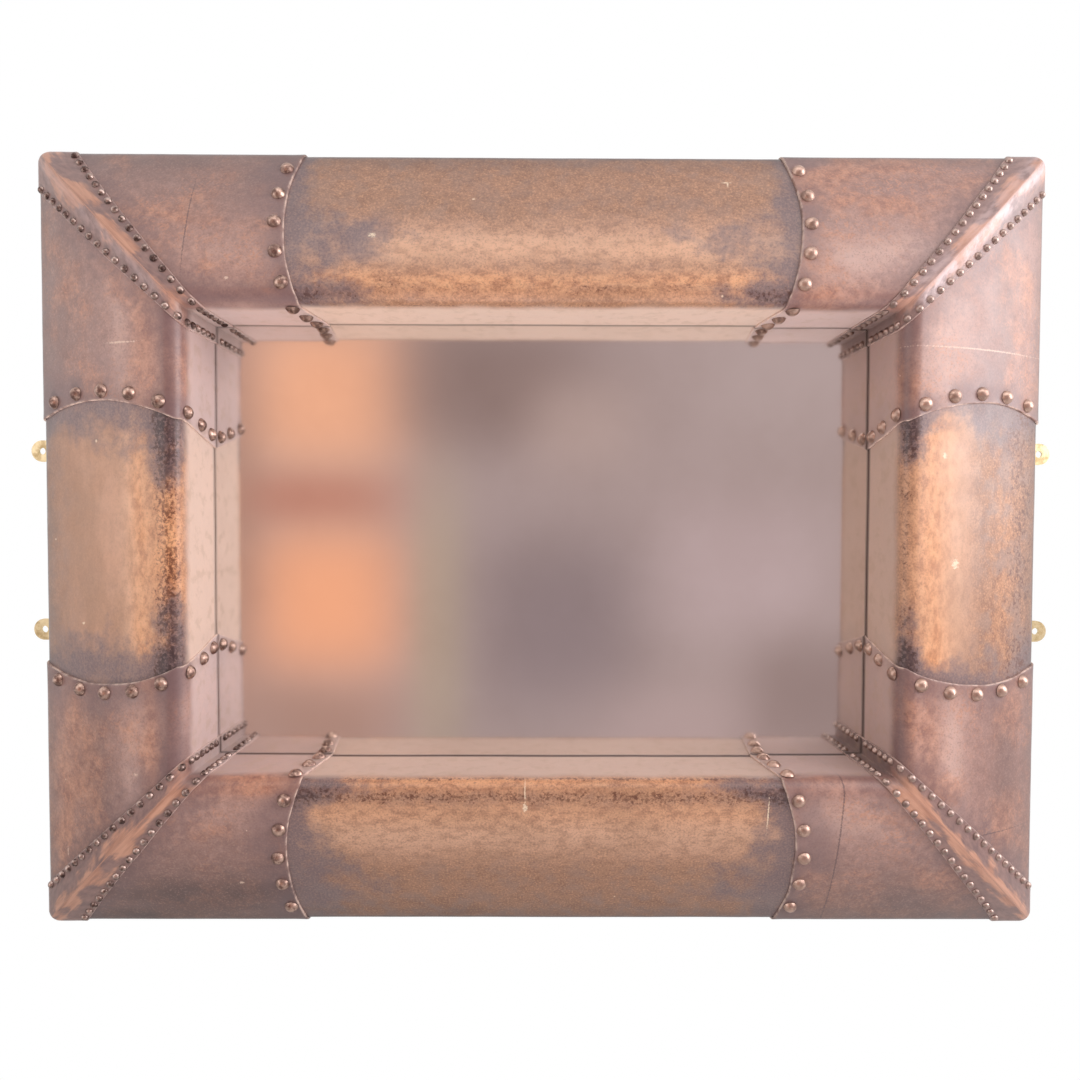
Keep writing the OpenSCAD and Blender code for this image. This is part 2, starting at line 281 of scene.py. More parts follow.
def place(k, s, u, d):
    """World points of a side's s, u, d, with the frame's outer corners rounded in plan."""
    s, u, d = np.broadcast_arrays(s, u, d)
    x, y = s, u - half_across(k)
    for _ in range(k):
        x, y = -y, x
    vx = np.abs(x) - (FRAME_W / 2 - CORNER_R)
    vy = np.abs(y) - (FRAME_H / 2 - CORNER_R)
    far = (vx > 0) & (vy > 0)
    pull = np.where(far, np.maximum(vx, vy) / np.maximum(np.hypot(vx, vy), TINY), 1)
    x = np.where(far, np.sign(x) * (FRAME_W / 2 - CORNER_R + vx * pull), x)
    y = np.where(far, np.sign(y) * (FRAME_H / 2 - CORNER_R + vy * pull), y)
    return np.stack([x, -d, y], -1)


# Relief of the leather

LATTICE = 64

# Swells of the hide, as height and width, and the seed of the first
CENTRE_SWELLS = [(0.12 * MM, 45 * MM), (0.05 * MM, 14 * MM)]
CENTRE_SEED = 10
END_SWELLS = [(0.14 * MM, 38 * MM), (0.06 * MM, 11 * MM)]
END_SEED = 40
STRAP_SWELLS = [(0.1 * MM, 16 * MM)]
STRAP_SEED = 70
SEED_STEP = 10

# Unevenness of a cut edge along its seam, as depth and length, and its seed
END_WAVER = (0.7 * MM, 24 * MM, 30)
STRAP_WAVER = (0.5 * MM, 20 * MM, 60)
WAVER_APART = 40 * MM

# A cut edge lifts between its nails: by how much, how far a nail holds it down, and how far
# from the cut it lifts. Each head also presses a dip into the leather: its depth and width
SEAM_PUCKER = (0.4 * MM, 9 * MM, 7 * MM)
SEAM_DIP = (0.25 * MM, 2.6 * MM)
STRAP_PUCKER = (0.2 * MM, 5 * MM, 4 * MM)
STRAP_DIP = (0.2 * MM, 1.6 * MM)

# The relief fades out towards a seam of the centre panel and towards the foot of the roll
SEAM_FADE = 6 * MM
END_FOOT_FADE = 12 * MM
STRAP_FOOT_FADE = 6 * MM


def swell(x, y, size, seed):
    """Smooth random relief from -1 to 1, with swells about as wide as size."""
    lattice = np.random.default_rng(seed).uniform(-1, 1, (LATTICE, LATTICE))
    x, y = x / size, y / size
    i, j = np.floor(x).astype(int), np.floor(y).astype(int)
    fx, fy = x - i, y - j
    fx, fy = fx * fx * (3 - 2 * fx), fy * fy * (3 - 2 * fy)

    def corner(a, b):
        return lattice[(i + a) % LATTICE, (j + b) % LATTICE]

    low = corner(0, 0) * (1 - fx) + corner(1, 0) * fx
    high = corner(0, 1) * (1 - fx) + corner(1, 1) * fx
    return low * (1 - fy) + high * fy


def swells(s, g, kinds, seed, k):
    """The relief of a side's hide, from several sizes of swell."""
    return sum(height * swell(s, g, width, seed + SEED_STEP * n + k)
               for n, (height, width) in enumerate(kinds))


def waver(g, depth, length, seed, k, end):
    """How far a cut edge strays from its line, by girth."""
    return depth * swell(g, np.full_like(g, end * WAVER_APART), length, seed + k)


def nearest(s, g, places):
    """Distance on the leather from each point to the nearest of some nails."""
    apart = np.full(np.shape(s), np.inf)
    for ns, ng in places:
        apart = np.minimum(apart, np.hypot(s - ns, g - ng))
    return apart


def rounded_edge(x):
    """How far a cut edge has rounded off at a distance x from the cut."""
    t = np.clip(1 - x / RAW_EDGE, 0, 1)
    return -RAW_EDGE * (1 - np.sqrt(1 - t * t))


def puckered(away, x, lift, held, reach):
    """How far a cut edge lifts between its nails, at a distance x from the cut."""
    return lift * (1 - np.exp(-(away / held) ** 2)) * np.exp(-(x / reach) ** 2)


def pressed(away, nail_r, depth, width):
    """The dip that a nail head presses into the leather round it."""
    return -depth * np.exp(-(np.maximum(away - nail_r, 0) / width) ** 2)


# Leather pieces

SHARP_ANGLE = radians(50)


def grid_faces(ids):
    """Four sided faces between the numbered points of a grid."""
    return np.stack([ids[:-1, :-1], ids[:-1, 1:], ids[1:, 1:], ids[1:, :-1]], -1).reshape(-1, 4)


def shell(name, outer, inner, marks):
    """A closed shell between two grids of points, with values marked on its points."""
    rows, cols = outer.shape[:2]
    count = rows * cols
    ids = np.arange(count).reshape(rows, cols)
    quads = grid_faces(ids)
    ring = np.concatenate([ids[0, :-1], ids[:-1, -1], ids[-1, :0:-1], ids[:0:-1, 0]])
    ahead = np.roll(ring, -1)
    rim = np.stack([ahead, ring, ring + count, ahead + count], -1)
    faces = np.concatenate([quads, quads[:, ::-1] + count, rim])
    mesh = bpy.data.meshes.new(name)
    mesh.from_pydata(np.concatenate([outer.reshape(-1, 3), inner.reshape(-1, 3)]).tolist(), [],
                     faces.tolist())
    edited = bmesh.new()
    edited.from_mesh(mesh)
    bmesh.ops.recalc_face_normals(edited, faces=edited.faces)
    edited.to_mesh(mesh)
    edited.free()
    mesh.shade_smooth()
    mesh.set_sharp_from_angle(angle=SHARP_ANGLE)
    for key, values in marks.items():
        both = np.concatenate([values.reshape(count, -1)] * 2)
        vector = both.shape[1] == 3
        field = mesh.attributes.new(key, "FLOAT_VECTOR" if vector else "FLOAT", "POINT")
        field.data.foreach_set("vector" if vector else "value", both.ravel().astype(np.float32))
    return put(name, mesh)


# Steps of the grids: across the rail, and along it from a cut edge
ROW_STEP = 1.7 * MM
CENTRE_STEP = 2 * ROW_STEP
NEAR_EDGE = [0, 0.12 * MM, 0.35 * MM, 0.65 * MM, 1.0 * MM]
NEAR_STEP = 1.3 * MM
NEAR_REACH = 17 * MM
FAR_STEP = 3.2 * MM
# Columns of half a strap, and the width at which the first of them lie at NEAR_EDGE
STRAP_COLUMNS = 22
STRAP_NEAR_WIDTH = 12 * MM
# A strap's thinner edge rounds off more tightly
STRAP_EDGE_TIGHT = 1.2
# The bare hide of a cut edge ends this many times RAW_EDGE from the cut
RAW_END = 1.3

# The grain is solid noise, and each piece takes its own layer of it
SIDE_LAYER = 0.4
CENTRE_LAYER = 0.0
END_LAYER = 0.1
STRAP_LAYER = 0.2


def grid(rows, start, end):
    """Distances from start to end along the rail, close set near the start, for every row."""
    near = NEAR_EDGE + list(np.arange(NEAR_EDGE[-1] + NEAR_STEP, NEAR_REACH, NEAR_STEP))
    length = end - start
    count = ceil((float(length.max()) - near[-1]) / FAR_STEP)
    far = np.arange(1, count + 1) / count
    near = np.broadcast_to(near, (len(rows), len(near)))
    return np.concatenate([near, near[:, -1:] + (length[:, None] - near[:, -1:]) * far], 1)


def grain_at(k, along, g, layer):
    """Where each point of a piece lies in the grain."""
    return np.stack([along, g, np.full_like(along, SIDE_LAYER * k + layer)], -1)


def raw_edge(x):
    """How bare a cut edge is, at a distance x from the cut."""
    return np.clip(RAW_END - x / RAW_EDGE, 0, 1)


def lay(k, rows, s, height, thickness):
    """Outer and inner grids of a panel: section rows by places along the rail, lifted by height."""
    u, d, nu, nd, _ = (rows[:, [c]] for c in range(5))
    outer = place(k, s, u + nu * height, d + nd * height)
    inner = place(k, s, u - nu * thickness, d - nd * thickness)
    return outer, inner


# Bands of colour across each centre panel, as girth from the glass in mm, half width in mm and
# strength, for the bottom, right, top and left. The shade bands are painted shade over an outer side
# that is darker in itself, and the pale bands are a painted highlight along the crest
BANDS = {
    "speckle": [
        [(58, 3, 1), (75, 8, 0.9)],
        [(64, 7, 0.65), (190, 34, 0.8)],
        [(57, 2, 0.8), (74, 9, 0.52)],
        [(71, 14, 1)],
    ],
    "glow": [
        [(62, 6, 0.9), (88, 14, 0.4)],
        [(88, 20, 1), (165, 24, 0.5)],
        [(80, 9, 0.9), (108, 12, 0.3)],
        [(70, 24, 0.9), (98, 10, 0.7)],
    ],
    # Painted shade, over a darker outer side
    "shade": [
        [(76, 9, 0.5), (150, 18, 0.4), (203, 48, 1)],
        [(150, 24, 0.9), (196, 42, 1)],
        [(205, 44, 0.8), (150, 18, 0.45), (94, 7, 0.4), (74, 4, 0.45), (60, 4, 0.6)],
        [(200, 34, 0.6)],
    ],
    # A painted highlight along the crest
    "pale": [
        [(108, 20, 0.3)],
        [(100, 22, 0.6)],
        [(110, 13, 0.8)],
        [(100, 12, 0.9)],
    ],
    "calm": [
        [],
        [(104, 34, 0.9)],
        [(110, 13, 0.4)],
        [(150, 80, 1)],
    ],
    "soot": [
        [(74, 12, 0.8)],
        [(66, 12, 0.9)],
        [(66, 10, 0.7)],
        [(72, 15, 1)],
    ],
}
# How far the smoke by a seam reaches along the rail: everywhere, and more at each side's bands
SMOKE_REACH = 17 * MM
SMOKE_BANDS = [
    [(165, 44, 62 * MM), (66, 12, 54 * MM)],
    [(170, 46, 26 * MM), (66, 12, 34 * MM)],
    [(120, 28, 84 * MM), (66, 12, 60 * MM)],
    [(130, 60, 28 * MM), (70, 14, 44 * MM)],
]
# How much painted light and sheen the hide takes on the wall of the opening, for the bottom, right,
# top and left, and on the straps there, for the bottom left, bottom right, top right and top left
WALL_PALE = [0.35, 0.3, 1, 1]
STRAP_PALE = [0.7, 0.1, 0.2, 1]
# Halves of the straps with painted glare beside the crease, by side and end
STRAP_GLARE = {(1, 1): 1, (2, -1): 0.35, (3, -1): 0.2}
GLARE_AT = 7 * MM
GLARE_HALF = 7 * MM

# Bands across the end panels, for both ends of the bottom, right, top and left: a painted highlight on
# the crest, painted shade on the outer side over a burnished edge, rust and a dark shoulder
END_BANDS = {
    "rust": [
        [(62, 15, 0.9)], [(66, 14, 0.4)],
        [(90, 16, 0.5)], [(90, 12, 0.3)],
        [(76, 12, 0.3)], [(110, 30, 0.2)],
        [(94, 16, 0.9)], [(90, 8, 0.5), (185, 30, 0.5)],
    ],
    # A painted highlight on the crest and the shoulder
    "bloom": [
        [(90, 14, 0.2)], [(96, 24, 0.5)],
        [(110, 15, 0.9)], [(98, 18, 0.8)],
        [(104, 26, 0.7)], [(106, 14, 0.3), (60, 4, 0.5)],
        [(114, 12, 0.5)], [(108, 14, 0.4), (60, 5, 0.9)],
    ],
    # Painted shade on the outer and lower side, over a burnished edge
    "burnish": [
        [(198, 64, 1)], [(200, 56, 0.7)],
        [(180, 44, 0.5)], [(160, 16, 0.3)],
        [(200, 40, 0.2)], [(196, 46, 0.5)],
        [(200, 52, 0.4)], [(150, 26, 0.45)],
    ],
    "dusk": [
        [(74, 10, 0)], [(58, 8, 0.3)],
        [(62, 8, 0.6)], [(64, 6, 0.7)],
        [(60, 8, 0.4)], [(68, 12, 0.6)],
        [(72, 8, 0.8)], [(70, 11, 0.9)],
    ],
}


def banded(rise, bands):
    """The sum of soft bands across the rail, at a girth from the glass in mm."""
    return 0 * rise + sum(strength * np.exp(-((rise - at) / wide) ** 2) for at, wide, strength in bands)


def centre_panel(k):
    """The golden tan leather in the middle of a side, which runs on under both end panels."""
    rows = girth_rows(CENTRE_I, True, CENTRE_STEP)
    reach = seam_s(k, rows[:, 0], rows[:, 1], LAP - LAYER_GAP)[:, None]
    count = ceil(2 * float(reach.max()) / CENTRE_STEP)
    s = reach * np.linspace(-1, 1, count + 1)
    g = np.broadcast_to(rows[:, [4]], s.shape)
    seam = seam_s(k, rows[:, 0], rows[:, 1], 0)[:, None] - np.abs(s)
    height = swells(s, g, CENTRE_SWELLS, CENTRE_SEED, k) * np.clip(seam / SEAM_FADE, 0, 1)
    outer, inner = lay(k, rows, s, height, CENTRE_T - 2 * LAYER_GAP)
    rise = (girth_end(CENTRE_I) - g) / MM
    marks = {
        "grain": grain_at(k, s, g, CENTRE_LAYER),
        "smoke": seam / (SMOKE_REACH + banded(rise, SMOKE_BANDS[k])),
        "rise": rise,
        "girth": g / MM,
        "wall": np.full_like(s, WALL_PALE[k]),
    }
    for name, bands in BANDS.items():
        marks[name] = banded(rise, bands[k])
    piece = shell(f"tan_panel_{SIDES[k]}", outer, inner, marks)
    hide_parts(f"centre_leather_{SIDES[k]}")
    return piece


def end_panel(k, end):
    """The reddish brown leather at one end of a side, from its seam to the mitre."""
    rows = girth_rows(END_I, True, ROW_STEP)
    u, d, g = rows[:, 0], rows[:, 1], rows[:, 4]
    # Behind the frame the lap is cut away, so that the turned edges of both panels lie flat
    behind = np.where(d < PLATE_T + FOLD_R, np.clip((u - END_I) / FOLD_R, 0, 1), 0)
    cut = seam_s(k, u, d, 0) + waver(g, *END_WAVER, k, end) + LAP * behind
    mitre = side_len(k) / 2 - u - LAYER_GAP
    x = grid(rows, cut, mitre)
    s = end * (cut[:, None] + x)
    g = np.broadcast_to(g[:, None], s.shape)
    away = nearest(s, g, seam_nails(k, end))
    relief = (puckered(away, x, *SEAM_PUCKER) + pressed(away, SEAM_NAIL_R, *SEAM_DIP)
              + swells(s, g, END_SWELLS, END_SEED, k))
    height = rounded_edge(x) + relief * np.clip(g / END_FOOT_FADE, 0, 1)
    outer, inner = lay(k, rows, s, height, END_T - LAYER_GAP)
    marks = {
        "grain": grain_at(k, s, g, END_LAYER),
        "seam": x / MM,
        "mitre": (mitre[:, None] - np.abs(s)) / MM,
        "girth": g / MM,
        "rise": (girth_end(END_I) - g) / MM,
        "raw": raw_edge(x),
        "wall": np.full_like(s, WALL_PALE[k]),
    }
    for name, bands in END_BANDS.items():
        marks[name] = banded(marks["rise"], bands[2 * k + (end > 0)])
    letter = "a" if end < 0 else "b"
    piece = shell(f"brown_panel_{SIDES[k]}_{letter}", outer, inner, marks)
    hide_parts(f"end_leather_{SIDES[k]}_{letter}")
    return piece


def strap_half(k, end):
    """Grids and marks of the half of a strap on one side, from its cut edge to the mitre."""
    rows = girth_rows(0, False, ROW_STEP)
    u, g = rows[:, 0], rows[:, 4]
    mitre = side_len(k) / 2 - u
    cut = mitre - strap_reach(u) + waver(g, *STRAP_WAVER, k, end)
    near = np.array(NEAR_EDGE) / STRAP_NEAR_WIDTH
    share = np.concatenate([near, np.linspace(near[-1], 1, STRAP_COLUMNS)[1:]])
    x = (mitre - cut)[:, None] * share
    s = end * (cut[:, None] + x)
    g = np.broadcast_to(g[:, None], s.shape)
    away = nearest(s, g, strap_nails(k, end))
    relief = (puckered(away, x, *STRAP_PUCKER) + pressed(away, STRAP_NAIL_R, *STRAP_DIP)
              + swells(s, g, STRAP_SWELLS, STRAP_SEED, k))
    height = rounded_edge(x * STRAP_EDGE_TIGHT) + relief * np.clip(g / STRAP_FOOT_FADE, 0, 1)
    outer, inner = lay(k, rows, s, height, STRAP_T - LAYER_GAP)
    rest = mitre[:, None] - np.abs(s)
    marks = {
        "grain": grain_at(k, end * rest, g, STRAP_LAYER),
        "mitre": rest / MM,
        "rise": (girth_end(0) - g) / MM,
        "raw": raw_edge(x),
        "glare": STRAP_GLARE.get((k, end), 0) * np.exp(-((rest - GLARE_AT) / GLARE_HALF) ** 2),
    }
    return outer, inner, marks


CREASE_COLUMNS = 4
CREASE_PASSES = 2


def joined(one, two):
    """Two grids side by side, the second turned round, with one shared column at the mitre."""
    return np.concatenate([one, two[:, -2::-1]], 1)


def soften_crease(points, ridge):
    """Rounds the fold of a strap by averaging the columns beside its ridge."""
    a, b = ridge - CREASE_COLUMNS, ridge + CREASE_COLUMNS + 1
    for _ in range(CREASE_PASSES):
        points[:, a:b] = (points[:, a - 1:b - 1] + 2 * points[:, a:b] + points[:, a + 1:b + 1]) / 4


def corner_strap(k):
    """The strap along a mitre, from the halves on the two sides that meet there."""
    outer_one, inner_one, marks_one = strap_half(k, -1)
    outer_two, inner_two, marks_two = strap_half((k + 3) % len(SIDES), 1)
    outer, inner = joined(outer_one, outer_two), joined(inner_one, inner_two)
    ridge = outer_one.shape[1] - 1
    soften_crease(outer, ridge)
    soften_crease(inner, ridge)
    marks = {key: joined(values, marks_two[key]) for key, values in marks_one.items()}
    marks["wall"] = np.full_like(marks["rise"], STRAP_PALE[k])
    piece = shell(f"strap_leather_{CORNERS[k]}", outer, inner, marks)
    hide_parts(f"strap_{CORNERS[k]}")
    return piece


# Materials


def tone(red, green, blue):
    """A colour written in screen values from 0 to 255, as the linear colour the nodes take."""
    shares = [value / 255 for value in (red, green, blue)]
    linear = [c / 12.92 if c <= 0.04 else ((c + 0.055) / 1.055) ** 2.4 for c in shares]
    return (*linear, 1)


def palette(**colours):
    """The colours of a finish, by name."""
    return {name: tone(*value) for name, value in colours.items()}


# Nearly all of a noise lies between these two values
NOISE_LOW, NOISE_HIGH = 0.3, 0.7


class Finish:
    """A material, with a method for each kind of node that it is made of."""

    def __init__(self, name, **plain):
        self.material = bpy.data.materials.new(name)
        self.material.use_nodes = True
        self.tree = self.material.node_tree
        self.shader = self.tree.nodes["Principled BSDF"]
        self.colour = None
        for key, value in plain.items():
            self.shader.inputs[key.replace("_", " ")].default_value = value

    def feed(self, socket, value):
        """Gives a socket a link or a plain value."""
        if isinstance(value, bpy.types.NodeSocket):
            self.tree.links.new(value, socket)
        else:
            socket.default_value = value

    def node(self, kind, inputs, **settings):
        made = self.tree.nodes.new("ShaderNode" + kind)
        for key, value in settings.items():
            setattr(made, key, value)
        for key, value in inputs.items():
            self.feed(made.inputs[key], value)
        return made

    def mark(self, name):
        """The values that a piece carries on its points under this name."""
        made = self.node("Attribute", {}, attribute_name=name)
        return made.outputs["Vector" if name == "grain" else "Fac"]

    def position(self):
        """The place of a point in the part's frame."""
        return self.node("TexCoord", {}).outputs["Object"]

    def stretch(self, vector, x, y, z):
        """Places scaled along each axis, so that a noise there is longer where the scale is less."""
        return self.node("Mapping", {"Vector": vector, "Scale": (x, y, z)}).outputs["Vector"]

    def noise(self, vector, size, detail=4, roughness=0.55, distortion=0):
        """A noise with spots about as wide as size."""
        made = self.node("TexNoise", {"Vector": vector, "Scale": 1 / size, "Detail": detail,
                                      "Roughness": roughness, "Distortion": distortion})
        return made.outputs["Fac"]

    def cells(self, vector, size):
        """How far away the nearest of some scattered points is, in sizes."""
        return self.node("TexVoronoi", {"Vector": vector, "Scale": 1 / size}).outputs["Distance"]

    def span(self, value, low, high, bottom=0, top=1):
        """A value brought softly from bottom to top, as it goes from low to high."""
        made = self.node("MapRange", {"Value": value, "From Min": low, "From Max": high,
                                      "To Min": bottom, "To Max": top}, interpolation_type="SMOOTHSTEP")
        return made.outputs["Result"]

    def spread(self, noise, bottom, top):
        """A noise brought to the range from bottom to top."""
        return self.span(noise, NOISE_LOW, NOISE_HIGH, bottom, top)

    def sum(self, a, b):
        return self.node("Math", {0: a, 1: b}, operation="ADD").outputs[0]

    def product(self, a, b):
        return self.node("Math", {0: a, 1: b}, operation="MULTIPLY").outputs[0]

    def most(self, a, b):
        return self.node("Math", {0: a, 1: b}, operation="MAXIMUM").outputs[0]

    def ramp(self, value, *stops):
        """A colour between stops, each a position and its colour."""
        made = self.node("ValToRGB", {"Fac": value})
        ramp = made.color_ramp
        while len(ramp.elements) < len(stops):
            ramp.elements.new(0.5)
        for element, (position, colour) in zip(ramp.elements, stops):
            element.position = position
            element.color = colour
        return made.outputs["Color"]

    def mix(self, share, a, b):
        """Colour a with a share of colour b, which are sockets 6 and 7 of the node."""
        made = self.node("Mix", {0: share, 6: a, 7: b}, data_type="RGBA", blend_type="MIX")
        return made.outputs[2]

    def paint(self, share, colour):
        """Lays a share of a colour over the finish so far."""
        self.colour = self.mix(share, self.colour, colour)

    def bump(self, height, depth, strength=0.6, under=None):
        """A normal bumped by height, over another bump if one is given."""
        inputs = {"Height": height, "Distance": depth, "Strength": strength}
        if under is not None:
            inputs["Normal"] = under
        return self.node("Bump", inputs).outputs["Normal"]

    def finish(self, roughness=None, normal=None):
        """Feeds the shader with the painted colour, and gives the material."""
        self.feed(self.shader.inputs["Base Color"], self.colour)
        if roughness is not None:
            self.feed(self.shader.inputs["Roughness"], roughness)
        if normal is not None:
            self.feed(self.shader.inputs["Normal"], normal)
        return self.material


# Leather finishes

GLOSS = {"Specular_IOR_Level": 0.5, "Sheen_Weight": 0.15, "Sheen_Roughness": 0.4,
         "Coat_Weight": 0.5, "Coat_Roughness": 0.4}
# Colours that the hides share, then those of each hide, whose two wall colours are the hide under dull
# and bright painted light and sheen
# The edge colour is painted shade on the outer side of the frame
HIDE = palette(foot=(92, 68, 62), edge=(74, 50, 46), stain=(190, 154, 124), scuff=(164, 122, 102))
TAN = palette(
    gold=(184, 134, 104), light_gold=(208, 154, 124), shade=(146, 97, 67), pale=(236, 188, 158),
    glow=(202, 126, 76), light_glow=(240, 172, 122),
    olive=(128, 82, 58), light_grain=(236, 178, 138), dark_grain=(118, 70, 50),
    smoke=(119, 95, 98), soot=(88, 66, 70), stale=(142, 118, 112),
    light_soot=(186, 146, 128), dark_soot=(82, 62, 64),
    speckle=(108, 56, 32), sooty_speckle=(50, 32, 36),
    worn=(250, 222, 192), dull_wall=(203, 168, 152), pale_wall=(244, 212, 194),
)
# The pale pink is a painted highlight, and the darkest brown is painted shade over a burnished edge
BROWN = palette(
    dark=(156, 114, 104), light=(182, 138, 126), bloom=(224, 184, 172), burnish=(86, 57, 54),
    rust=(160, 98, 76), light_rust=(216, 152, 120), feather=(206, 142, 112),
    dark_grain=(112, 78, 72), light_grain=(216, 174, 158), dusk=(100, 72, 74), smoke=(116, 86, 88),
    worn=(240, 206, 184), crease=(92, 64, 62), raw=(232, 200, 184),
    dull_wall=(196, 162, 152), pale_wall=(232, 204, 198),
)
STRAP = palette(
    dark=(128, 95, 91), light=(160, 121, 112), peach=(182, 122, 96), light_peach=(218, 158, 130),
    # The near white is painted glare
    bleached=(244, 214, 214), raw=(214, 180, 168),
    dull_wall=(122, 94, 92), pale_wall=(226, 202, 196),
)

# Worn spots, scratches and creases, as side, place along the rail, girth, and half length and
# half width along the same two ways, in mm. Of the tan spots, the large one low on the right rail
# and the two near the middle of the bottom rail are partly wear and partly a painted highlight,
# a lamp's reflection
TAN_SPOTS = [
    (2, 143.8, 98.3, 3.0, 2.0), (2, -158.8, 39.5, 3.4, 0.8), (2, -160.0, 42.0, 0.8, 2.6),
    (2, 60.0, 60.0, 1.2, 1.0), (0, -14.2, 136.0, 1.8, 3.4), (0, -14.2, 150.0, 0.5, 10.0),
    (0, 192.0, 129.0, 0.6, 14.0), (1, -15.7, 110.8, 4.2, 3.0), (1, 75.2, 122.7, 2.2, 1.8),
    (3, -86.8, 78.4, 1.2, 1.0), (3, 70.0, 60.0, 1.0, 1.4),
]
BROWN_SPOTS = [
    (2, 261.8, 142.0, 1.6, 1.6), (3, 273.0, 38.7, 4.2, 0.9), (3, -168.0, 109.5, 0.8, 14.0),
    (1, 166.0, 87.0, 0.6, 64.0), (0, -262.0, 60.0, 2.2, 1.0), (3, 196.0, 120.0, 1.2, 1.8),
]
BROWN_CREASES = [(0, 254.7, 110.0, 0.7, 200.0), (2, 300.0, 90.0, 0.6, 50.0), (1, -252.0, 80.0, 0.6, 60.0)]
# A spot reaches this far through the layers of the grain, which is less than they lie apart
SPOT_DEPTH = 0.04
# The smoke of the tan hide thins out from the first to the second, in reaches from the seam
HAZE_LOW, HAZE_HIGH = 0.1, 1.25


def leather_skin(f, grain, raw=None):
    """Roughness and grain that all the leathers share."""
    pores = f.noise(grain, 0.9 * MM, 2, 0.5)
    creases = f.noise(grain, 7 * MM, 5, 0.6, 0.4)
    normal = f.bump(pores, 0.1 * MM, 0.35, f.bump(creases, 0.3 * MM, 0.35))
    rough = f.spread(f.noise(grain, 18 * MM), 0.36, 0.52)
    return (f.sum(rough, f.product(raw, 0.3)) if raw else rough), normal


def spots(f, grain, places, layer):
    """How much of the listed spots lies at a point of the layer."""
    ragged = f.spread(f.noise(grain, 2 * MM, 4, 0.7), -0.7, 0.7)
    found = 0.0
    for k, s, g, half_s, half_g in places:
        middle = (s * MM, g * MM, SIDE_LAYER * k + layer)
        half = (half_s * MM, half_g * MM, SPOT_DEPTH)
        moved = f.node("Mapping", {"Vector": grain, "Scale": tuple(1 / h for h in half),
                                   "Location": tuple(-m / h for m, h in zip(middle, half))})
        away = f.node("VectorMath", {0: moved.outputs["Vector"]}, operation="LENGTH").outputs["Value"]
        found = f.most(found, f.span(f.sum(away, ragged), 0.4, 1.3, 1, 0))
    return found


def flecks(f, grain, size, radius):
    """Small pale flecks, one here and there."""
    near = f.span(f.cells(grain, size), radius / size, 1.6 * radius / size, 1, 0)
    return f.product(near, f.span(f.noise(grain, 1.7 * size, 2), 0.5, 0.56))


def outer_edge(f, grain):
    """The outer side of the frame, in painted shade that grows unevenly towards the wall behind it, with
    a dark rim of painted shade where the leather turns back, scuffed here and there.
    """
    girth = f.mark("girth")
    wander = f.sum(girth, f.spread(f.noise(grain, 26 * MM, 5, 0.6), -5, 5))
    f.paint(f.span(wander, 6, 32, 0.35, 0), HIDE["edge"])
    # A dark rim of painted shade on the roll at the outer side
    rim = f.sum(girth, f.spread(f.noise(grain, 12 * MM), -0.8, 0.8))
    f.paint(f.span(rim, 6.5, 11, 0.75, 0), HIDE["edge"])
    scuffs = f.span(f.noise(f.stretch(grain, 0.5, 1, 1), 9 * MM, 5, 0.65), 0.52, 0.68, 0, 0.5)
    f.paint(f.product(scuffs, f.span(girth, 2, 8, 1, 0)), HIDE["scuff"])


def opening_wall(f, grain, rise, colours, share):
    """The wall of the opening, its hide painted paler with sheen and light that differ from side to side,
    and darkened where it meets the glass, most on the dull sides.
    """
    pale = f.mark("wall")
    # The hide here is painted light and sheen, dull or bright as its side is lit
    hide = f.mix(pale, colours["dull_wall"], colours["pale_wall"])
    wander = f.sum(rise, f.spread(f.noise(grain, 30 * MM, 5), -1.6, 1.6))
    f.paint(f.span(wander, 46, 60, share, 0), hide)
    stain = f.span(f.noise(grain, 12 * MM, 5, 0.6), 0.5, 0.66, 0, 0.3)
    f.paint(f.product(stain, f.span(rise, 54, 58, 1, 0)), HIDE["stain"])
    f.paint(f.product(f.span(rise, 1, 4.5, 0.9, 0), f.span(pale, 0.3, 1, 1, 0.5)), HIDE["foot"])


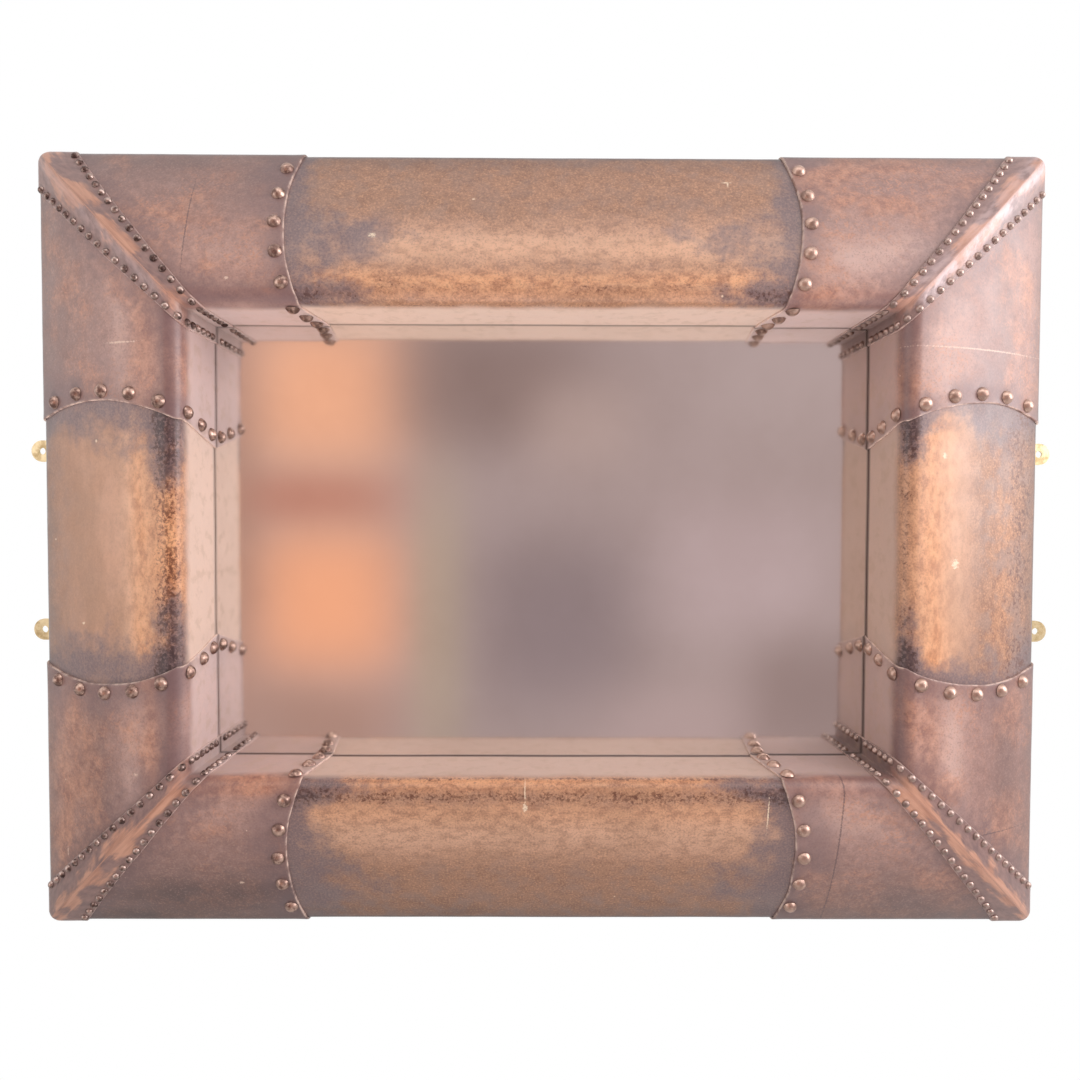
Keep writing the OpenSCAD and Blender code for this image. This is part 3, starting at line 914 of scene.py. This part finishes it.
def tan_leather():
    """Golden tan: clouded gold in bands of painted shade, painted highlight and orange, smoked by the
    seams and sponged with dark speckle.
    """
    f = Finish("tan_leather", **GLOSS)
    grain, rise = f.mark("grain"), f.mark("rise")
    clouds = f.noise(f.stretch(grain, 0.4, 1, 1), 40 * MM, 5, 0.6)
    fine = f.noise(grain, 1.8 * MM, 4, 0.65)
    coarse = f.noise(f.stretch(grain, 0.6, 1, 1), 7 * MM, 5, 0.65)
    drift = f.span(clouds, 0.3, 0.66, 0.5, 1)
    # Two golds in long soft clouds, with bands of painted shade over a darker outer side, of painted
    # highlight along the crest, and of brighter orange
    f.colour = f.mix(f.span(clouds, 0.36, 0.64), TAN["gold"], TAN["light_gold"])
    f.paint(f.product(f.mark("shade"), drift), TAN["shade"])
    f.paint(f.product(f.mark("pale"), drift), TAN["pale"])
    glow = f.ramp(coarse, (0.36, TAN["glow"]), (0.64, TAN["light_glow"]))
    f.paint(f.product(f.mark("glow"), drift), glow)
    # A fine grain of olive and rust, quieter where the bands are calm
    quiet = f.span(f.mark("calm"), 0, 1, 1, 0.25)
    f.paint(f.product(quiet, f.span(coarse, 0.38, 0.54, 0.34, 0)), TAN["olive"])
    f.paint(f.product(quiet, f.span(fine, 0.5, 0.66, 0, 0.42)), TAN["light_grain"])
    f.paint(f.product(quiet, f.span(fine, 0.34, 0.49, 0.44, 0)), TAN["dark_grain"])
    # Purple grey smoke by the seams, soot on the shoulder there, and grey patches in the shade
    haze = f.sum(f.mark("smoke"), f.span(f.noise(grain, 34 * MM, 6, 0.68), 0.25, 0.75, -0.6, 0.6))
    f.paint(f.span(haze, HAZE_LOW, HAZE_HIGH, 0.88, 0), TAN["smoke"])
    soot = f.product(f.mark("soot"), f.span(haze, HAZE_LOW, 1.0, 1, 0))
    f.paint(f.product(soot, 0.75), TAN["soot"])
    stale = f.span(f.noise(grain, 22 * MM, 5, 0.65), 0.44, 0.62, 0, 0.42)
    f.paint(f.product(stale, f.mark("shade")), TAN["stale"])
    sooty = f.span(haze, HAZE_LOW, HAZE_HIGH, 0.22, 0)
    f.paint(f.product(sooty, f.span(fine, 0.5, 0.62)), TAN["light_soot"])
    f.paint(f.product(sooty, f.span(fine, 0.5, 0.38)), TAN["dark_soot"])
    # Dark speckle sponged over it, which reaches further where its bands and the soot are dense
    density = f.product(f.mark("speckle"), f.span(f.noise(grain, 30 * MM), 0.3, 0.6, 0.6, 1))
    blots = f.noise(grain, 3 * MM, 4, 0.65)
    reach = f.most(f.span(density, 0, 1, 0.26, 0.52), f.span(soot, 0, 0.8, 0.26, 0.54))
    edge = f.sum(reach, f.product(blots, -1))
    dots = f.product(f.span(edge, -0.05, 0.05), f.span(coarse, 0.62, 0.4, 0.5, 0.95))
    f.paint(dots, f.mix(soot, TAN["speckle"], TAN["sooty_speckle"]))
    outer_edge(f, grain)
    # Worn spots and pale flecks, some of the spots partly a painted highlight of a lamp
    pale_flecks = f.product(flecks(f, grain, 34 * MM, 0.7 * MM), 0.8)
    worn = f.most(spots(f, grain, TAN_SPOTS, CENTRE_LAYER), pale_flecks)
    f.paint(f.product(worn, 0.85), TAN["worn"])
    opening_wall(f, grain, rise, TAN, 0.88)
    return f.finish(*leather_skin(f, grain))


def brown_leather():
    """Reddish brown: mottled and rusty in bands, with a painted highlight and painted shade over a
    burnished outer side, smoked by the seam and the strap.
    """
    f = Finish("brown_leather", **GLOSS)
    grain, rise, raw = f.mark("grain"), f.mark("rise"), f.mark("raw")
    mottle = f.noise(grain, 9 * MM, 6, 0.6, 0.3)
    wisps = f.noise(grain, 6 * MM, 4, 0.6, 1.6)
    fine = f.noise(grain, 1.6 * MM, 3, 0.6)
    clouds = f.noise(grain, 55 * MM, 3, 0.5)
    bands = f.noise(f.stretch(grain, 0.3, 1, 1), 30 * MM, 3, 0.5)
    drift = f.span(bands, 0.3, 0.64, 0.6, 1)
    f.colour = f.ramp(mottle, (0.3, BROWN["dark"]), (0.7, BROWN["light"]))
    # Soft bands along the rail: a painted highlight, painted shade over a burnished outer side, and rust
    f.paint(f.product(f.mark("bloom"), drift), BROWN["bloom"])
    f.paint(f.product(f.mark("burnish"), drift), BROWN["burnish"])
    rust = f.ramp(mottle, (0.35, BROWN["rust"]), (0.65, BROWN["light_rust"]))
    f.paint(f.product(f.mark("rust"), drift), rust)
    # Rust in soft patches with feathered flecks, fainter on the outer side with its burnish and painted
    # shade
    plain = f.span(f.mark("burnish"), 0.1, 0.9, 0.65, 0.15)
    patch = f.product(f.span(clouds, 0.42, 0.62), f.span(bands, 0.36, 0.6))
    f.paint(f.product(patch, plain), rust)
    feathers = f.product(f.span(clouds, 0.42, 0.6, 0.2, 0.9), plain)
    f.paint(f.product(feathers, f.span(wisps, 0.5, 0.62)), BROWN["feather"])
    f.paint(f.span(fine, 0.34, 0.48, 0.3, 0), BROWN["dark_grain"])
    f.paint(f.span(fine, 0.52, 0.68, 0, 0.22), BROWN["light_grain"])
    # A dark shoulder, and smoke by the seam and beside the strap
    f.paint(f.product(f.mark("dusk"), drift), BROWN["dusk"])
    by_seam = f.span(f.sum(f.mark("seam"), f.spread(clouds, -14, 14)), 2, 40, 0.55, 0)
    by_strap = f.span(f.sum(f.mark("mitre"), f.spread(mottle, -8, 8)), 24, 60, 0.45, 0)
    f.paint(f.most(by_seam, by_strap), BROWN["smoke"])
    outer_edge(f, grain)
    worn = f.most(spots(f, grain, BROWN_SPOTS, END_LAYER), flecks(f, grain, 30 * MM, 0.6 * MM))
    f.paint(f.product(worn, 0.7), BROWN["worn"])
    f.paint(f.product(spots(f, grain, BROWN_CREASES, END_LAYER), 0.7), BROWN["crease"])
    opening_wall(f, grain, rise, BROWN, 0.78)
    f.paint(f.product(raw, f.span(f.noise(grain, 7 * MM, 3), 0.38, 0.62, 0.15, 0.95)), BROWN["raw"])
    return f.finish(*leather_skin(f, grain, raw))


def strap_leather():
    """Dull brown, rubbed to peach along the crease, with painted glare beside it here and there."""
    f = Finish("strap_leather", **GLOSS)
    grain, rise, raw = f.mark("grain"), f.mark("rise"), f.mark("raw")
    streaks = f.noise(f.stretch(grain, 1, 0.2, 1), 6 * MM, 5, 0.55, 0.2)
    blotch = f.noise(grain, 30 * MM)
    f.colour = f.ramp(f.noise(grain, 7 * MM, 6, 0.65), (0.35, STRAP["dark"]), (0.65, STRAP["light"]))
    # Rubbed to a smooth peach along the crease, with painted glare beside it here and there
    width = f.sum(f.span(blotch, 0.34, 0.66, -2, 20), f.spread(streaks, -4, 4))
    rubbed = f.span(f.sum(width, f.product(f.mark("mitre"), -1)), -4, 8, 0, 0.92)
    peach = f.ramp(streaks, (0.34, STRAP["peach"]), (0.62, STRAP["light_peach"]))
    f.paint(f.product(rubbed, f.span(rise, 52, 78)), peach)
    bleached = f.product(f.mark("glare"), f.span(f.noise(grain, 14 * MM, 5, 0.65), 0.36, 0.6, 0.15, 0.8))
    f.paint(f.product(bleached, f.span(rise, 60, 90)), STRAP["bleached"])
    opening_wall(f, grain, rise, STRAP, 0.8)
    f.paint(f.product(raw, f.span(f.noise(grain, 9 * MM, 3), 0.35, 0.6, 0.2, 0.8)), STRAP["raw"])
    return f.finish(*leather_skin(f, grain, raw))


# Other finishes, each as a main colour and the one it varies to

BRONZE_LARGE = tone(120, 92, 84), tone(208, 174, 158)
BRONZE_SMALL = tone(84, 64, 60), tone(196, 170, 160)
PINE = tone(206, 168, 120), tone(176, 132, 86)
SPACER_PINE = tone(214, 180, 134), tone(186, 146, 100)
ZINC = tone(176, 176, 172), tone(140, 140, 138)
BRASS = tone(226, 206, 166), tone(190, 166, 122)
BOARD = palette(dark=(92, 62, 42), middle=(128, 90, 62), light=(156, 116, 84), cloud=(100, 72, 52))
SILVERING = tone(243, 243, 242), tone(236, 235, 233)
METAL_ROUGHNESS = 0.3


def bronze(name, dark, light):
    """Nail heads, dark in their hollows, with a painted highlight that grows towards the window on the
    right.
    """
    f = Finish(name, Metallic=0.9)
    where = f.position()
    each = f.noise(where, 16 * MM, 1)
    wear = f.noise(where, 5 * MM, 4, 0.6)
    f.colour = f.mix(f.span(wear, 0.38, 0.66), dark, light)
    # A painted highlight, stronger towards the window on the right
    across = f.node("SeparateXYZ", {"Vector": where}).outputs["X"]
    f.paint(f.span(f.sum(across, f.span(each, 0.4, 0.6, -0.2, 0.2)), -0.3, 0.5, 0, 0.7), light)
    return f.finish(f.spread(wear, 0.5, 0.34), f.bump(f.noise(where, 2.4 * MM, 3), 0.05 * MM, 0.3))


def metal(name, colour, shade, size):
    """Worn bare metal."""
    f = Finish(name, Metallic=1.0)
    where = f.position()
    worn = f.noise(where, size, 5, 0.65)
    f.colour = f.mix(f.span(worn, 0.4, 0.7), colour, shade)
    return f.finish(f.spread(worn, METAL_ROUGHNESS, METAL_ROUGHNESS + 0.18),
                    f.bump(f.noise(where, size / 6, 3), 0.08 * MM, 0.4))


def timber(name, pale, dark, long_axis):
    """Sawn softwood with its grain along one axis."""
    f = Finish(name)
    squeeze = [1, 1, 1]
    squeeze[long_axis] = 0.06
    along = f.stretch(f.position(), *squeeze)
    rings = f.noise(along, 9 * MM, 5, 0.6, 1.2)
    fibres = f.noise(along, 1.2 * MM, 3)
    f.colour = f.ramp(rings, (0.35, dark), (0.5, pale), (0.56, dark), (0.7, pale))
    f.paint(f.span(fibres, 0.4, 0.7, 0, 0.3), dark)
    return f.finish(f.spread(fibres, 0.5, 0.7), f.bump(fibres, 0.2 * MM))


def hardboard():
    """Pressed board, brown and fibrous."""
    f = Finish("hardboard")
    where = f.position()
    fibres = f.noise(f.stretch(where, 1, 1, 0.4), 3 * MM, 6, 0.75)
    f.colour = f.ramp(fibres, (0.35, BOARD["dark"]), (0.5, BOARD["middle"]), (0.65, BOARD["light"]))
    f.paint(f.span(f.noise(where, 90 * MM, 3), 0.4, 0.7, 0, 0.3), BOARD["cloud"])
    return f.finish(f.spread(fibres, 0.6, 0.8), f.bump(fibres, 0.15 * MM))


def mirror():
    """Silvered glass, very slightly out of focus."""
    f = Finish("mirror", Metallic=1.0, Roughness=0.1)
    haze = f.noise(f.position(), 120 * MM)
    f.colour = f.mix(f.span(haze, 0.35, 0.75), *SILVERING)
    return f.finish()


# Light and surroundings

FLOOR_Z = -0.78
FLOOR_HALF = 4.0
FLOOR_FRONT = -4.5
FLOOR_BACK = 0.3
FLOOR_WHITE = tone(238, 237, 235)


def floor():
    """A white floor some way below the mirror."""
    f = Finish("floor", Roughness=0.9)
    f.colour = FLOOR_WHITE
    corners = [(-FLOOR_HALF, FLOOR_FRONT, FLOOR_Z), (FLOOR_HALF, FLOOR_FRONT, FLOOR_Z),
               (FLOOR_HALF, FLOOR_BACK, FLOOR_Z), (-FLOOR_HALF, FLOOR_BACK, FLOOR_Z)]
    mesh = bpy.data.meshes.new("floor")
    mesh.from_pydata(corners, [], [(0, 1, 2, 3)])
    mesh.materials.append(f.finish())
    put("floor", mesh)


# Soft patches of the room that the glass reflects: x, z, half width, half height, strength, colour
ROOM = [
    (-0.62, 0.39, 0.26, 0.25, 1.0, tone(255, 186, 150)),
    (-0.62, -0.21, 0.25, 0.25, 1.0, tone(255, 178, 138)),
    (-0.67, 0.09, 0.26, 0.07, 0.8, tone(198, 130, 110)),
    (-0.62, -0.58, 0.26, 0.12, 0.8, tone(186, 142, 126)),
    (-0.96, 0.00, 0.14, 0.90, 0.9, tone(186, 140, 122)),
    (-0.29, -0.28, 0.08, 0.46, 0.7, tone(190, 168, 146)),
    (-0.12, 0.42, 0.30, 0.20, 0.8, tone(140, 114, 108)),
    (0.12, 0.30, 0.16, 0.13, 0.5, tone(206, 178, 170)),
    (0.06, -0.28, 0.26, 0.28, 0.7, tone(136, 118, 122)),
    (0.45, -0.62, 0.30, 0.16, 0.6, tone(196, 168, 166)),
    (0.60, -0.12, 0.26, 0.22, 0.6, tone(208, 182, 184)),
    (0.80, -0.50, 0.20, 0.18, 0.8, tone(150, 126, 122)),
    (0.78, 0.50, 0.34, 0.26, 0.5, tone(196, 174, 172)),
]
ROOM_BASE = tone(180, 157, 154)
ROOM_Y = -1.45
ROOM_HALF = (1.35, 1.1)
ROOM_STEPS = (75, 62)
# The higher this is, the squarer a patch falls off at its edge
PATCH_POWER = 3


def room_card():
    """The soft, out of focus room in front of the mirror, seen only in reflections."""
    f = Finish("room_card")
    glow = f.node("Attribute", {}, attribute_name="glow")
    light = f.node("Emission", {"Color": glow.outputs["Color"], "Strength": 1.0})
    f.tree.links.new(light.outputs[0], f.tree.nodes["Material Output"].inputs["Surface"])
    nx, nz = ROOM_STEPS
    x, z = np.meshgrid(np.linspace(-ROOM_HALF[0], ROOM_HALF[0], nx),
                       np.linspace(-ROOM_HALF[1], ROOM_HALF[1], nz))
    colour = np.broadcast_to(ROOM_BASE, (nz, nx, 4)).copy()
    for px, pz, wide, high, strength, patch in ROOM:
        away = np.abs((x - px) / wide) ** PATCH_POWER + np.abs((z - pz) / high) ** PATCH_POWER
        share = strength * np.exp(-away)[..., None]
        colour = colour * (1 - share) + np.array(patch) * share
    points = np.stack([x, np.full_like(x, ROOM_Y), z], -1).reshape(-1, 3)
    mesh = bpy.data.meshes.new("room_card")
    mesh.from_pydata(points.tolist(), [], grid_faces(np.arange(nx * nz).reshape(nz, nx)).tolist())
    field = mesh.color_attributes.new("glow", "FLOAT_COLOR", "POINT")
    field.data.foreach_set("color", colour.reshape(-1).astype(np.float32))
    mesh.materials.append(f.material)
    card = put("room_card", mesh)
    card.visible_camera = False
    card.visible_diffuse = False
    card.visible_shadow = False


WORLD_FILL = 0.36
WORLD_WHITE = 1.0
WHITE = (1, 1, 1, 1)


def studio():
    """A world that is white to the eye and in gloss, and a softer fill on everything else."""
    world = bpy.data.worlds.new("studio")
    bpy.context.scene.world = world
    world.use_nodes = True
    tree = world.node_tree
    tree.nodes.clear()
    path = tree.nodes.new("ShaderNodeLightPath")
    seen = path.outputs["Is Camera Ray"]
    for extra in ("Is Glossy Ray", "Is Transmission Ray"):
        either = tree.nodes.new("ShaderNodeMath")
        either.operation = "MAXIMUM"
        tree.links.new(seen, either.inputs[0])
        tree.links.new(path.outputs[extra], either.inputs[1])
        seen = either.outputs[0]
    mix = tree.nodes.new("ShaderNodeMixShader")
    tree.links.new(seen, mix.inputs[0])
    for socket, strength in ((1, WORLD_FILL), (2, WORLD_WHITE)):
        light = tree.nodes.new("ShaderNodeBackground")
        light.inputs["Strength"].default_value = strength
        light.inputs["Color"].default_value = WHITE
        tree.links.new(light.outputs[0], mix.inputs[socket])
    out = tree.nodes.new("ShaderNodeOutputWorld")
    tree.links.new(mix.outputs[0], out.inputs["Surface"])


# Lamps, as name, place, aim, width and height, watts, and spread in degrees
LAMPS = [
    ("right_window", (1.75, -0.75, 0.55), (0.1, 0, 0), (1.3, 1.3), 24, 180),
    ("overhead", (0.1, -1.2, 1.6), (0, 0, 0), (2.2, 1.1), 9, 180),
    ("left_fill", (-1.8, -1.2, 0.2), (0, 0, 0), (1.3, 1.3), 5, 180),
    ("low_fill", (0, -0.46, -0.74), (0, -0.04, 0.24), (1.3, 0.3), 0.9, 36),
]
WINDOW_COLOUR = (0.98, 0.965, 1)


def lamp(name, at, aim, size, power, spread):
    """An area lamp at a place, turned towards its aim."""
    data = bpy.data.lights.new(name, "AREA")
    data.shape = "RECTANGLE"
    data.size, data.size_y = size
    data.energy = power
    data.spread = radians(spread)
    light = put(name, data)
    light.location = at
    light.rotation_euler = (Vector(aim) - Vector(at)).to_track_quat("-Z", "Y").to_euler()
    return light


def surroundings():
    """The world, the floor, the room that the glass reflects, and the lamps."""
    studio()
    floor()
    room_card()
    lamps = {name: lamp(name, *how) for name, *how in LAMPS}
    lamps["right_window"].data.color = WINDOW_COLOUR
    # The low fill lights the underside of the frame without showing in the gloss
    lamps["low_fill"].visible_camera = False
    lamps["low_fill"].visible_glossy = False


# Putting it together


def dress(names, material):
    """Gives kept solids their material."""
    for name in names:
        nodes[name].data.materials.clear()
        nodes[name].data.materials.append(material)


def cover(piece, material):
    """Gives a leather piece its material and body."""
    piece.data.materials.append(material)
    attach(piece, "root")


bpy.context.scene.view_settings.view_transform = "Standard"
make_camera()
surroundings()

tan, brown, strap = tan_leather(), brown_leather(), strap_leather()
for k in range(len(SIDES)):
    cover(centre_panel(k), tan)
    for end in (-1, 1):
        cover(end_panel(k, end), brown)
    cover(corner_strap(k), strap)

dress([f"seam_nails_{side}" for side in SIDES], bronze("bronze_large", *BRONZE_LARGE))
dress([f"strap_nails_{corner}" for corner in CORNERS], bronze("bronze_small", *BRONZE_SMALL))
dress(["rail_bottom", "rail_top"], timber("pine_level", *PINE, 0))
dress(["rail_left", "rail_right"], timber("pine_upright", *PINE, 2))
dress(["glass_spacers"], timber("spacer_pine", *SPACER_PINE, 0))
dress(["mirror_glass"], mirror())
dress(["backing_board"], hardboard())
dress(["backing_screws"], metal("zinc", *ZINC, 4 * MM))
dress([name for name in nodes if name.startswith("wall_plate")] + ["plate_screws"],
      metal("brass", *BRASS, 7 * MM))
